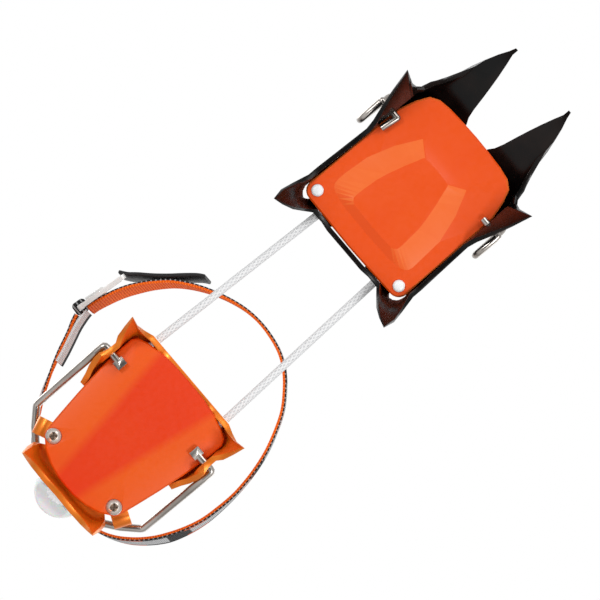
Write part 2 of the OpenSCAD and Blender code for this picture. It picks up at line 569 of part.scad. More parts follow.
module heel_frame() color("orange") {
    difference() {
        union() {
            skirt(heel_front_stations, alloy_t, turn = true);
            skirt(heel_back_stations, alloy_t);
            translate([0, 0, -alloy_t]) linear_extrude(alloy_t) polygon(whole(heel_platform_half));
            side_tab();
            mirror([0, 1, 0]) side_tab();
        }
        translate([0, 0, -alloy_t - 1]) linear_extrude(alloy_t + 2) {
            slot(heel_x - 28, heel_x - 18, 0, 26);
            slot(heel_x - 56, heel_x - 46, 0, 20);
        }
        for (side = [-1, 1]) {
            translate([screw_x, side * screw_y, -alloy_t - 1]) cylinder(r = m4_r + pin_play, h = alloy_t + 2);
            translate([wire_x, side * (heel_half + bend_r + 1), pivot_z]) rotate([side * 90, 0, 0])
                cylinder(d = heel_wire_d + 2 * pin_play, h = alloy_t + 2);
            translate([heel_x - 2, side * cord_back_y, cord_z]) rotate([0, 90, 0])
                cylinder(r = cord_d / 2 + gap, h = 12);
        }
    }
}

// Heel wire: flattened pins, arms outside the ears, then up over the side tabs to a bar behind the heel
lever_x = back_x - 1.5;
lever_z = 20;
wire_arm_y = heel_half + bend_r + heel_wire_d / 2 + 1;
tab_rest_z = tab_top + heel_wire_d / 2 + gap;
crossbar_half = lever_w / 2 + 1.5;
wire_route = [
    [wire_x, wire_arm_y - 3.6, pivot_z], [wire_x, wire_arm_y, pivot_z], [wire_x - 6, wire_arm_y, pivot_z + 1.2],
    [back_x + 15, wire_arm_y - 0.5, tab_rest_z - 0.5],
    [back_x + 7, wire_arm_y - 8.5, tab_rest_z + 0.2], [back_x + 2, heel_back_half + 6.5, tab_rest_z + 1.2],
    [back_x - 1, heel_back_half + 1, 14], [lever_x, crossbar_half + 3, lever_z], [lever_x, crossbar_half - 1, lever_z]];
module heel_wire() color("silver") {
    for (side = [-1, 1]) {
        tube([for (p = rounded(wire_route, 3.4)) [p[0], side * p[1], p[2]]], heel_wire_d - 0.06, [0, 0, 1]);
        translate([wire_x, side * (heel_half - 3), pivot_z]) rotate([-side * 90, 0, 0])
            cylinder(d = heel_wire_d, h = wire_arm_y - heel_half + 0.6);
        translate([wire_x - 2.8, side * (heel_half - 4) - 2.3, pivot_z - 1.6]) cube([5.6, 4.6, 1.9]);
    }
    translate([lever_x, crossbar_half, lever_z]) rotate([90, 0, 0]) cylinder(d = heel_wire_d, h = 2 * crossbar_half);
}

// Heel lever, in its own axes: u backwards, w up along the lever from the wire's bar
module at_lever() {
    translate([lever_x, 0, lever_z]) rotate([0, -lever_lean, 0]) mirror([1, 0, 0]) children();
}
lever_lift = 4;                                   // travel of the height adjustment
yoke_half = 8.7;
pocket_half = yoke_half + gap;
yoke_top = 10;
wheel_low = 13;
wheel_t = 5.4;
lever_low = -9;
lever_top = 50;
lip_reach = 9;
strap_z = 49;                                     // height of the strap's middle at the lever
strap_x = lever_x - tan(lever_lean) * (strap_z - lever_z);
lever_side = [
    [-lever_t / 2, lever_low + 2], [-lever_t / 2 + 2, lever_low], [lever_t / 2 - 2, lever_low], [lever_t / 2, lever_low + 2],
    [lever_t / 2, 38], [lever_t / 2 + 0.6, 41.5], [lever_t / 2 + 2.4, 44.4], [lip_reach, 46.5], [lip_reach, lever_top],
    [5, lever_top - 0.6], [0.5, lever_top - 2.6], [-2.6, lever_top - 6], [-lever_t / 2, lever_top - 10.5]];
module heel_lever() color("white") {
    difference() {
        at_lever() difference() {
            intersection() {
                translate([0, lever_w / 2, 0]) rotate([90, 0, 0]) linear_extrude(lever_w) polygon(lever_side);
                translate([0, 0, lever_low - 1]) linear_extrude(lever_top - lever_low + 2) {
                    translate([lip_reach - lever_w / 2, 0]) circle(d = lever_w);
                    translate([-20, -lever_w / 2]) square([20 + lip_reach - lever_w / 2, lever_w]);
                }
            }
            // Pocket for the yoke, window for the wheel and slots for the wire's bar
            translate([-10, -pocket_half, lever_low - 1]) cube([20, 2 * pocket_half, yoke_top + 2 * gap - lever_low + 1]);
            translate([-10, -pocket_half, wheel_low - gap]) cube([20, 2 * pocket_half, wheel_t + 2 * gap]);
            translate([0, 0, yoke_top]) cylinder(d = screw_d + 2 * pin_play, h = wheel_low + wheel_t + 2 - yoke_top);
            for (w = [-lever_lift, 0]) translate([0, 20, w]) rotate([90, 0, 0])
                cylinder(d = heel_wire_d + 2 * gap, h = 40);
            translate([-heel_wire_d / 2 - gap, -20, -lever_lift]) cube([heel_wire_d + 2 * gap, 40, lever_lift]);
        }
        // Channel that the strap runs through
        translate([strap_x - strap_t / 2 - gap, -20, strap_z - strap_w / 2 - 2 * gap])
            cube([strap_t + 2 * gap, 40, strap_w + 4 * gap]);
    }
}

// Yoke on the wire's bar, tapped for the adjusting screw
module lever_yoke() color("gray") at_lever() difference() {
    translate([-lever_t / 2 + gap, -yoke_half, -4]) cube([lever_t - 2 * gap, 2 * yoke_half, yoke_top + 4]);
    translate([0, yoke_half + 1, 0]) rotate([90, 0, 0]) cylinder(r = heel_wire_d / 2 + pin_play, h = 2 * yoke_half + 2);
    translate([0, 0, heel_wire_d / 2 + 0.8]) cylinder(r = screw_d / 2 + pin_play, h = yoke_top);
}

module adjust_wheel() color("black") at_lever() translate([0, 0, wheel_low]) difference() {
    cylinder(d = wheel_d, h = wheel_t);
    for (a = [0:20:340]) rotate([0, 0, a]) translate([wheel_d / 2 + 0.6, 0, -1]) cylinder(d = 2.2, h = wheel_t + 2, $fn = 16);
    translate([0, 0, -1]) cylinder(d = screw_d + 2 * pin_play, h = wheel_t + 2);
}

module adjust_screw() color("silver") at_lever()
    translate([0, 0, heel_wire_d / 2 + 1.2]) cylinder(d = screw_d, h = wheel_low + wheel_t + 1.5 - heel_wire_d / 2 - 1.2);

// Ankle strap, on edge, from its end behind the buckle round the front of the ankle, through the lever and back
strap_route = [
    [-90.7, -62.4, 47], [-95, -60.6, 47.4], [-100, -58, 48], [-110, -54, 48], [-120, -49, 48], [-129, -44, 49], [-137, -38.5, 49],
    [-144, -33, 49], [-150, -27, 49], [-154, -21, 49], [strap_x, -15.5, strap_z], [strap_x, 0, strap_z],
    [strap_x, 15.5, strap_z], [-155, 22, 49], [-152, 31, 49], [-147, 39, 49], [-140, 46, 49], [-131, 52, 48], [-121, 56, 48],
    [-110, 58.5, 48], [-99, 59, 48], [-88, 58.5, 47], [-76, 56.5, 47], [-64, 53, 47], [-53, 48, 46], [-43, 42, 46],
    [-35, 34.5, 46], [-29, 27, 46], [-25, 19, 45], [-23, 10, 45], [-22.5, 0, 45], [-24, -10, 45], [-28, -21, 45], [-34, -32, 46],
    [-42, -42, 46], [-51, -49, 46], [-60, -54, 46], [-68, -57.2, 47], [-76, -59.3, 47]];
// Loops of a flat band on edge: t thick, w wide, along a route
function band(route, t, w) = [for (i = [0:len(route) - 1])
    let(along = unit([for (k = [0, 1]) route[min(i + 1, len(route) - 1)][k] - route[max(i - 1, 0)][k]]),
        n = [-along[1], along[0]], p = route[i])
    [for (c = [[1, -1], [1, 1], [-1, 1], [-1, -1]])
        [p[0] + c[0] * n[0] * t / 2, p[1] + c[0] * n[1] * t / 2, p[2] + c[1] * w / 2]]];
module ankle_strap() color("darkorange") loft(band(strap_route, strap_t, strap_w));

// Buckle on the outside of the strap: a flat two-window frame and a cam plate on its middle bar
buckle_at = [-73.5, -63.2, 47];
buckle_turn = 5;
buckle_len = 29;
buckle_h = strap_w + 6;
buckle_t = 2.4;
side_bar = 2.8;
bar_d = 2.4;
module at_buckle() {
    translate(buckle_at) rotate([0, 0, buckle_turn]) children();
}
module buckle_frame() color("silver") at_buckle() {
    translate([0, -buckle_t / 2, 0]) rotate([-90, 0, 0]) linear_extrude(buckle_t) difference() {
        offset(r = 2.5, $fn = 24) square([buckle_len - 5, buckle_h - 5], center = true);
        square([buckle_len - 2 * side_bar, strap_w + 1.2], center = true);
    }
    translate([0, 0, -strap_w / 2 - 1]) cylinder(d = bar_d, h = strap_w + 2);
}
cam_d = bar_d + 2.4;
module buckle_cam() color("silver") at_buckle() difference() {
    union() {
        translate([0, 0, -strap_w / 2 + 0.5]) cylinder(d = cam_d, h = strap_w - 1);
        translate([-8.8, -cam_d / 2, -strap_w / 2 + 0.5]) cube([8.8, 1.4, strap_w - 1]);
        for (k = [0:4]) translate([-8.8, -cam_d / 2 + 0.7, -strap_w / 2 + 1.6 + k * (strap_w - 3.2) / 4])
            rotate([0, 90, 0]) cylinder(d = 1.6, h = 3, $fn = 12);
    }
    translate([0, 0, -strap_w]) cylinder(d = bar_d + 2 * pin_play, h = 2 * strap_w);
}

// Sewn loop of strap round the buckle's end bar
module strap_loop() color("darkorange") {
    bar_at = -(buckle_len - side_bar) / 2;
    at_buckle() translate([bar_at, 0, -strap_w / 2]) linear_extrude(strap_w) difference() {
        offset(r = strap_t, $fn = 32) square([side_bar + 2 * gap, buckle_t + 2 * gap], center = true);
        square([side_bar + 2 * gap, buckle_t + 2 * gap], center = true);
    }
}

// Stiff rounded pull tab on the strap's free end
tip_route = [
    [-57.8, -63.8, 47], [-54, -61.8, 46.8], [-50, -58.2, 46.6], [-46, -54, 46.4], [-41, -48.6, 46.2], [-36, -42.6, 46],
    [-31.5, -36.4, 46], [-28, -30.6, 46]];
module strap_tip() color("black") {
    difference() {
        loft(band(tip_route, 2.6, strap_w + 2));
        translate([tip_route[6][0] + 1, tip_route[6][1] + 1, tip_route[6][2]]) rotate([0, 0, 58]) difference() {
            translate([-1, -6, -strap_w]) cube([14, 12, 2 * strap_w]);
            rotate([90, 0, 0]) cylinder(r = strap_w / 2 + 1, h = 14, center = true);
        }
    }
}

front_frame();
front_snow_shell();
front_rivets();
front_rivet_caps();
toe_bail();
adjuster_bar();
cord_ferrules();
link_cord();
cord_knots();
heel_frame();
heel_snow_shell();
shell_screws();
shell_nuts();
heel_wire();
lever_yoke();
heel_lever();
adjust_wheel();
adjust_screw();
ankle_strap();
strap_tip();
strap_loop();
buckle_frame();
buckle_cam();
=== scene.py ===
# %% [markdown]
# # A strap-on crampon seen from the snow side
# The object is a ten-point crampon: a black steel front section with a moulded shell that
# keeps snow from balling up, an orange anodised heel section with its own shell, a white
# braided cord between them, two wire bails, a heel lever and an ankle strap.
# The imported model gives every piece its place, so each dressed piece starts from it.

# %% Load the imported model
import math

import bpy
from mathutils import Matrix, Vector


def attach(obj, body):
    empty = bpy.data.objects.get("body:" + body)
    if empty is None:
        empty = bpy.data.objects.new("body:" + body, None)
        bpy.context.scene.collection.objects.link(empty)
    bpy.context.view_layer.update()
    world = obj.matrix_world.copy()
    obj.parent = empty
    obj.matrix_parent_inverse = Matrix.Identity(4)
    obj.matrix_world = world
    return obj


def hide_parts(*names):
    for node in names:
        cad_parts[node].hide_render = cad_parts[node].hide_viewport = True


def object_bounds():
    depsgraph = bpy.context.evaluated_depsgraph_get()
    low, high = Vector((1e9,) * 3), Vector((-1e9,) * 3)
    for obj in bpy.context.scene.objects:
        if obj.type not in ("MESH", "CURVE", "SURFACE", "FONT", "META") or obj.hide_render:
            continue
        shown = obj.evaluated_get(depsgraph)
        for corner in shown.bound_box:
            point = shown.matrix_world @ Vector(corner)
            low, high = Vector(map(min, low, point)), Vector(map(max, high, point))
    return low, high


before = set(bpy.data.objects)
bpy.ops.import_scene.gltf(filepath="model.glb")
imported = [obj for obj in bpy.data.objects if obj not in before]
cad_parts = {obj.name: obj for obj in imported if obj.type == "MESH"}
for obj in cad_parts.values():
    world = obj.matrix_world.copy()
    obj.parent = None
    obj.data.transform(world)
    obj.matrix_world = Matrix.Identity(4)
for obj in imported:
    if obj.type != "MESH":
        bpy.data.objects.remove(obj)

scene = bpy.context.scene
cad_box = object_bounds()
bpy.ops.object.select_all(action="DESELECT")

# %% [markdown]
# ## Camera
# The photograph looks straight up at the points from below the object, with the object's
# long axis turned 40 degrees in the picture. A long lens far away gives its flat view.
# A matrix is used because it states the three camera axes directly.

# %% Camera
picture_turn = math.radians(40.4)
picture_width = 0.300
picture_middle_y = 0.0047
distance = 6.0
object_middle_z = -0.0125
right = Vector((math.cos(picture_turn), math.sin(picture_turn), 0))
up = Vector((math.sin(picture_turn), -math.cos(picture_turn), 0))
camera = bpy.data.objects.new("camera", bpy.data.cameras.new("camera"))
camera.data.sensor_width = 36
camera.data.lens = camera.data.sensor_width * distance / picture_width
camera.data.clip_end = 40
camera.matrix_world = Matrix((
    (right.x, up.x, 0, 0),
    (right.y, up.y, 0, picture_middle_y),
    (0, 0, -1, object_middle_z - distance),
    (0, 0, 0, 1)))
scene.collection.objects.link(camera)
scene.camera = camera
scene.view_settings.view_transform = "Standard"
print("lens", round(camera.data.lens), "mm at", distance, "m")

# %% [markdown]
# ## Nodes
# The world, the floor and every finish are node trees, so one small class adds and links
# their nodes. What feeds an input is another node's output or a plain value.

# %% Node helper
class Nodes:
    """Short calls that add nodes to the tree of a world or a material."""

    def __init__(self, owner):
        owner.use_nodes = True
        self.tree = owner.node_tree

    def node(self, kind, *inputs, **values):
        """Adds a node, sets its values, and feeds each (socket, source) pair of its inputs."""
        made = self.tree.nodes.new(kind)
        for key, value in values.items():
            setattr(made, key, value)
        for socket, source in inputs:
            if hasattr(source, "is_output"):
                self.tree.links.new(source, made.inputs[socket])
            else:
                made.inputs[socket].default_value = source
        return made

    def maths(self, kind, a, b=0.0):
        return self.node("ShaderNodeMath", (0, a), (1, b), operation=kind).outputs[0]

    def map(self, value, low, high, to_low=0.0, to_high=1.0):
        """Carries the range low to high over to another one, clamped at both ends."""
        return self.node("ShaderNodeMapRange", ("Value", value), ("From Min", low), ("From Max", high),
                         ("To Min", to_low), ("To Max", to_high)).outputs[0]

print("node helper ready")

# %% [markdown]
# ## Light and backdrop
# The studio has soft lamps above and below, and a white background. The world is white for
# what the camera sees directly, and a plain soft level for diffuse light, so that the
# background never washes out the object. In reflections the horizon and the room round the
# camera are darker, because polished metal only looks like metal with something to reflect.

# %% World
world = bpy.data.worlds.new("studio")
scene.world = world
sky = Nodes(world)
sky.tree.nodes.clear()
ray = sky.node("ShaderNodeLightPath").outputs
way = sky.node("ShaderNodeTexCoord").outputs["Generated"]
upward = sky.node("ShaderNodeSeparateXYZ", (0, way)).outputs["Z"]
horizon = sky.map(sky.maths("ABSOLUTE", upward), 0.0, 0.75, 0.42, 1.0)
camera_side = sky.map(upward, -0.98, -0.72, 0.1, 1.0)
reflected = sky.maths("MULTIPLY", horizon, camera_side)
white = (1, 1, 1, 1)
backdrop = sky.node("ShaderNodeBackground", ("Color", white),
                    ("Strength", sky.maths("MAXIMUM", reflected, ray["Is Camera Ray"])))
soft = sky.node("ShaderNodeBackground", ("Color", white), ("Strength", 0.52))
mirrored = sky.maths("MAXIMUM", ray["Is Camera Ray"], ray["Is Glossy Ray"])
seen = sky.maths("MAXIMUM", mirrored, ray["Is Transmission Ray"])
choice = sky.node("ShaderNodeMixShader", (0, seen), (1, soft.outputs[0]), (2, backdrop.outputs[0]))
sky.node("ShaderNodeOutputWorld", ("Surface", choice.outputs[0]))
print("world nodes", len(sky.tree.nodes))

# %% Lamps
def lamp(name, sideways, upwards, height, watts, size):
    """A soft square lamp, placed along the picture's axes and aimed at the object."""
    light = bpy.data.lights.new(name, "AREA")
    light.energy = watts
    light.size = size
    holder = bpy.data.objects.new(name, light)
    place = right * sideways + up * upwards + Vector((0, 0, height))
    holder.location = place
    holder.rotation_euler = (-place).to_track_quat("-Z", "Y").to_euler()
    scene.collection.objects.link(holder)
    return holder

lamps = [
    lamp("under_left_wing", -0.62, 0.55, -1.15, 5.2, 0.3),
    lamp("under_right_wing", 0.62, -0.55, -1.15, 7.0, 0.3),
    lamp("under_front", 0.6, 0.75, -0.8, 3.5, 0.6),
    lamp("over_key", -0.8, 0.7, 1.2, 9, 0.9),
    lamp("over_fill", 0.9, -0.9, 1.1, 6, 1.0),
]
print("lamps", [holder.name for holder in lamps])

# %% [markdown]
# ## Floor
# A pale floor lies just under the lowest points and catches the object's shadow in every
# view from above. The camera of the photograph is below it, so the floor is see-through
# from its underside, and for every ray that doesn't come from the camera.

# %% Floor
floor_gap = 0.0004
lowest = cad_box[0][2]
bpy.ops.mesh.primitive_plane_add(size=4, location=(0, 0, lowest - floor_gap))
floor = bpy.context.object
floor.name = "floor"
paper = bpy.data.materials.new("floor_paper")
sheet = Nodes(paper)
sheet.tree.nodes.clear()
camera_ray = sheet.node("ShaderNodeLightPath").outputs["Is Camera Ray"]
underside = sheet.node("ShaderNodeNewGeometry").outputs["Backfacing"]
visible = sheet.node("ShaderNodeMath", (0, camera_ray), (1, underside), operation="SUBTRACT", use_clamp=True)
pale = sheet.node("ShaderNodeBsdfDiffuse", ("Color", (0.86, 0.86, 0.87, 1)))
clear = sheet.node("ShaderNodeBsdfTransparent")
choice = sheet.node("ShaderNodeMixShader", (0, visible.outputs[0]), (1, clear.outputs[0]),
                    (2, pale.outputs[0]))
sheet.node("ShaderNodeOutputMaterial", ("Surface", choice.outputs[0]))
floor.data.materials.append(paper)
print("floor at", round(lowest * 1000, 1), "mm")

# %% [markdown]
# ## Finishes
# Every finish is a Principled shader fed by procedural nodes. Colours are written as they
# look in the photograph, so they are turned from screen values into linear ones first.

# %% Colour
def screen(r, g, b):
    """A colour as seen on screen, 0 to 255, as the linear colour that the shader takes."""
    linear = [((v / 255 + 0.055) / 1.055) ** 2.4 if v > 10 else v / 255 / 12.92 for v in (r, g, b)]
    return (*linear, 1)

print("shell orange", [round(v, 3) for v in screen(232, 84, 32)])

# %% Finish helper
class Finish(Nodes):
    """A named finish: one Principled shader, and short calls for what feeds it."""

    def __init__(self, name, roughness, metallic=0.0, **sockets):
        self.material = bpy.data.materials.new(name)
        super().__init__(self.material)
        self.shader = self.tree.nodes["Principled BSDF"]
        self.shader.inputs["Roughness"].default_value = roughness
        self.shader.inputs["Metallic"].default_value = metallic
        for socket, value in sockets.items():
            self.shader.inputs[socket.replace("_", " ")].default_value = value
        self.place = self.node("ShaderNodeTexCoord").outputs

    def spots(self, scale, detail=3.0, stretch=(1, 1, 1)):
        """Soft noise in the piece's own space, 0 to 1."""
        spread = self.node("ShaderNodeMapping", ("Vector", self.place["Object"]), ("Scale", stretch))
        return self.node("ShaderNodeTexNoise", ("Vector", spread.outputs[0]), ("Scale", scale),
                         ("Detail", detail)).outputs["Fac"]

    def blend(self, amount, low, high):
        """Mixes two colours by an amount from 0 to 1."""
        return self.node("ShaderNodeMix", (0, amount), (6, low), (7, high), data_type="RGBA").outputs[2]

    def colour(self, source):
        self.tree.links.new(source, self.shader.inputs["Base Color"])

    def rough(self, source):
        self.tree.links.new(source, self.shader.inputs["Roughness"])

    def relief(self, height, depth, strength=1.0):
        raised = self.node("ShaderNodeBump", ("Height", height), ("Distance", depth), ("Strength", strength))
        self.tree.links.new(raised.outputs[0], self.shader.inputs["Normal"])

print("finish helper ready")

# %% [markdown]
# Black heat-treated steel has a thin satin coat: almost black, a little brown where the
# coat is thin, with a fine orange-peel relief. Handling rubs it bare along the edges, which
# get a paler metal finish of their own: partly wear, and partly a painted highlight for the
# thin bright lines that rounded edges catch.

# %% Coated steel
coated = Finish("black_coated_steel", 0.3, 0.0, Specular_IOR_Level=0.2)
thin = coated.map(coated.spots(38, 4), 0.45, 0.75)
coated.colour(coated.blend(thin, screen(4, 4, 4), screen(26, 17, 14)))
coated.rough(coated.map(coated.spots(240, 4), 0.3, 0.7, 0.2, 0.32))
coated.relief(coated.spots(900, 2), 0.00005, 0.5)
steel_black = coated.material

# Paler edge metal: partly bare wear, partly a painted highlight along the edges.
worn_and_highlit = Finish("worn_and_highlit_steel_edge", 0.34, 0.75)
rubbed_and_highlit = worn_and_highlit.map(worn_and_highlit.spots(170, 4), 0.35, 0.62)
worn_and_highlit.colour(worn_and_highlit.blend(rubbed_and_highlit, screen(46, 42, 40), screen(176, 170, 164)))
worn_and_highlit.rough(worn_and_highlit.map(worn_and_highlit.spots(500, 3), 0.3, 0.7, 0.28, 0.42))
worn_and_highlit.relief(worn_and_highlit.spots(1200, 3), 0.00005, 0.6)
steel_edge_wear_and_highlight = worn_and_highlit.material
print("steel finishes", steel_black.name, steel_edge_wear_and_highlight.name)

# %% [markdown]
# The moulded shells are a satin plastic. Their sloping sides are painted paler than the
# middle, as a painted sheen for the light that sloping faces catch: on the front shell this
# painted sheen follows each face's slope. The heel shell turns too gently for that, so it has a
# straight painted pale band along each side, and the middle widens towards the front.

# %% Moulded shell plastic
def moulded(name, middle, side, deep, line=None):
    """Satin moulded plastic with a painted sheen in its side colour. A line (spread, offset) is where its
    painted pale side bands begin.
    """
    plastic = Finish(name, 0.36, 0.0, Specular_IOR_Level=0.34)
    if line:
        spread, offset = line
        place = plastic.node("ShaderNodeSeparateXYZ", (0, plastic.place["Object"])).outputs
        limit = plastic.maths("ADD", plastic.maths("MULTIPLY", place["X"], spread), offset)
        past = plastic.maths("SUBTRACT", plastic.maths("ABSOLUTE", place["Y"]), limit)
        slope = plastic.map(past, -0.002, 0.003)
    else:
        slope = plastic.node("ShaderNodeAttribute", attribute_name="slope").outputs["Fac"]
    cloudy = plastic.map(plastic.spots(22, 2), 0.3, 0.72, -0.12, 0.12)
    # Painted sheen: the side colour goes on sloping faces and on the heel's side bands.
    sheen_tone = plastic.blend(plastic.maths("ADD", slope, cloudy), screen(*middle), screen(*side))
    flow = plastic.map(plastic.spots(60, 3, (0.25, 1, 1)), 0.45, 0.8, 0, 0.25)
    plastic.colour(plastic.blend(flow, sheen_tone, screen(*deep)))
    plastic.rough(plastic.map(plastic.spots(420, 3), 0.3, 0.7, 0.32, 0.44))
    plastic.relief(plastic.spots(2600, 2), 0.00003, 0.4)
    return plastic.material

shell_front = moulded("front_shell_moulding", (226, 77, 6), (234, 106, 40), (220, 64, 3))
shell_heel = moulded("heel_shell_moulding", (222, 56, 3), (228, 86, 10), (216, 46, 2), line=(0.16, 0.031))
print("shell finishes", shell_front.name, shell_heel.name)

# %% [markdown]
# Anodised aluminium keeps the metal's soft shine under a dyed, slightly transparent skin.
# Rolled sheet has faint lines along the rolling direction, which the stretched noise gives.
# Bright parts are only partly metallic here, so that they stay light in a dark surrounding.

# %% Anodised and plain metals
anodised = Finish("orange_anodised_aluminium", 0.36, 0.55, Specular_IOR_Level=0.5,
                  Coat_Weight=0.15, Coat_Roughness=0.3)
cloud = anodised.map(anodised.spots(30, 3), 0.3, 0.75)
anodised.colour(anodised.blend(cloud, screen(240, 132, 22), screen(222, 108, 14)))
anodised.rough(anodised.map(anodised.spots(60, 4, (0.06, 1, 1)), 0.3, 0.75, 0.3, 0.46))
anodised.relief(anodised.spots(700, 3, (0.08, 1, 1)), 0.00005, 0.5)
alloy_orange = anodised.material

def metal(name, bright, dull, rough, stretch=(1, 1, 1), metallic=1.0):
    """Plain metal with drawn or turned lines, duller where it is handled."""
    made = Finish(name, rough, metallic)
    made.colour(made.blend(made.map(made.spots(45, 3), 0.35, 0.75), screen(*bright), screen(*dull)))
    made.rough(made.map(made.spots(160, 4, stretch), 0.3, 0.7, rough - 0.08, rough + 0.1))
    made.relief(made.spots(1100, 3, stretch), 0.00004, 0.5)
    return made.material

wire_steel = metal("drawn_stainless_wire", (190, 184, 178), (146, 138, 131), 0.27, (0.3, 1, 1))
screw_steel = metal("plated_screw_steel", (214, 206, 198), (184, 174, 166), 0.26, metallic=0.6)
# Darker metal for the screw recesses, as painted shade.
recess_steel_painted_shade = metal("screw_recess_painted_shade", (146, 124, 108), (92, 74, 62), 0.4)
buckle_steel = metal("polished_buckle_steel", (250, 248, 246), (232, 230, 227), 0.2, metallic=0.15)
alloy_plain = metal("brushed_bar_alloy", (176, 178, 182), (140, 142, 148), 0.4, (1, 0.1, 1))
print("metals", wire_steel.name, screw_steel.name, buckle_steel.name)

# %% Plastics
def smooth_plastic(name, colour, other, rough, grain=0.00003, **sockets):
    """Smooth moulded plastic with a cloudy second colour and a fine grain."""
    made = Finish(name, rough, 0.0, **sockets)
    made.colour(made.blend(made.map(made.spots(55, 3), 0.35, 0.7), screen(*colour), screen(*other)))
    made.rough(made.map(made.spots(300, 3), 0.3, 0.7, rough - 0.05, rough + 0.08))
    made.relief(made.spots(1500, 2), grain, 0.5)
    return made.material

white_plastic = smooth_plastic("white_moulded_plastic", (240, 240, 240), (226, 228, 230), 0.34)
wheel_plastic = smooth_plastic("pale_wheel_plastic", (250, 250, 251), (243, 244, 246), 0.42)
tab_plastic = smooth_plastic("black_tab_plastic", (20, 20, 21), (34, 34, 35), 0.46, 0.00005,
                             Specular_IOR_Level=0.3)
lever_plastic = smooth_plastic("translucent_lever_plastic", (253, 253, 254), (246, 247, 249), 0.34,
                               Subsurface_Weight=0.5, Subsurface_Scale=0.006)
print("plastics", white_plastic.name, tab_plastic.name, lever_plastic.name)

# %% [markdown]
# ## Welding a part's mesh
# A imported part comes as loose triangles. A copy of it is welded, its flat faces are joined,
# and its edges get the small round that bending, moulding or tumbling leaves. Light catches
# such an edge as a thin line, and without it the part looks like a drawing.

# %% Dressing helpers
def only(piece):
    """Makes this piece the only selected and the active one."""
    bpy.ops.object.select_all(action="DESELECT")
    piece.select_set(True)
    bpy.context.view_layer.objects.active = piece

def settle(piece, kind, **values):
    """Adds one modifier with these values and applies it."""
    only(piece)
    bpy.ops.object.modifier_add(type=kind)
    added = piece.modifiers[-1]
    for key, value in values.items():
        setattr(added, key, value)
    bpy.ops.object.modifier_apply(modifier=added.name)

def paint(piece, *materials):
    """Puts the materials into the piece's slots in order, in place of what is there."""
    while len(piece.data.materials) > len(materials):
        piece.data.materials.pop()
    for number, material in enumerate(materials):
        if number < len(piece.data.materials):
            piece.data.materials[number] = material
        else:
            piece.data.materials.append(material)

def smooth(piece, angle):
    """Shades the piece smooth, with a hard line where faces meet at more than this angle."""
    only(piece)
    bpy.ops.object.shade_smooth_by_angle(angle=math.radians(angle))

def seat(piece, body):
    """Lets the piece ride on its body."""
    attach(piece, body)

print("dressing helpers ready")

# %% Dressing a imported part
weld = 0.000004
flat = math.radians(1.0)

def dressed(node, name, body, slot, *materials, edge=0.0003, segments=2, angle=42):
    """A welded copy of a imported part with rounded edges. A second material goes on the edges."""
    piece = bpy.data.objects.new(name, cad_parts[node].data.copy())
    scene.collection.objects.link(piece)
    only(piece)
    bpy.ops.object.mode_set(mode="EDIT")
    bpy.ops.mesh.select_all(action="SELECT")
    bpy.ops.mesh.remove_doubles(threshold=weld)
    bpy.ops.mesh.dissolve_limited(angle_limit=flat)
    bpy.ops.mesh.normals_make_consistent(inside=False)
    bpy.ops.object.mode_set(mode="OBJECT")
    paint(piece, *materials)
    if edge:
        settle(piece, "BEVEL", width=edge, segments=segments, limit_method="ANGLE",
               material=1 if len(materials) > 1 else -1, angle_limit=math.radians(angle),
               use_clamp_overlap=True)
    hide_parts(node)
    smooth(piece, angle)
    seat(piece, body)
    print(name, len(piece.data.polygons), "faces")
    return piece

print("welding within", weld * 1e6, "micrometres")

# %% [markdown]
# ## Front section
# The slope of each face of the shell is stored on the face, where its finish reads it to
# paint the sheen that sloping faces catch. The raised panel slopes by only a few degrees, and
# its outline still has to show, so every edge of more than 7 degrees stays sharp.

# %% Front section
def store_slopes(piece, low, steep):
    """Stores on each outer face how far it leans sideways, from 0 at low to 1 at steep degrees, as its share
    of painted sheen.
    """
    boot_side = 0.2
    layer = piece.data.attributes.new("slope", "FLOAT", "FACE")
    for face in piece.data.polygons:
        lean = math.degrees(math.asin(min(1, abs(face.normal.y))))
        share = max(0, min(1, (lean - low) / (steep - low)))
        layer.data[face.index].value = share if face.normal.z < -0.5 else boot_side

dressed("front_frame", "front_steel", "front_section", "black_steel", steel_black, steel_edge_wear_and_highlight, edge=0.00035)
front_shell = dressed("front_snow_shell", "front_shell", "front_section", "front_shell_plastic",
                      shell_front, angle=30)
store_slopes(front_shell, 3, 12)
smooth(front_shell, 7)
dressed("front_rivets", "rivets", "front_section", "white_plastic", white_plastic)
dressed("front_rivet_caps", "rivet_caps", "front_section", "white_plastic", white_plastic, edge=0.0002)
dressed("toe_bail", "toe_wire", "toe_bail", "stainless_wire", wire_steel, edge=0.0006, segments=3, angle=62)

# %% Link pieces
dressed("adjuster_bar", "slide_bar", "link", "bar_aluminium", alloy_plain, edge=0.0004)
dressed("cord_ferrules", "ferrules", "link", "ferrule_aluminium", alloy_plain, edge=0.0002)
dressed("cord_knots", "knots", "heel_section", "cord_fabric", white_plastic, edge=0, angle=60)

# %% [markdown]
# ## Heel section
# The screws' cross recesses get little light, so their inner faces get a darker metal as
# painted shade. They are the faces near a screw's axis that are sunk or stand upright.

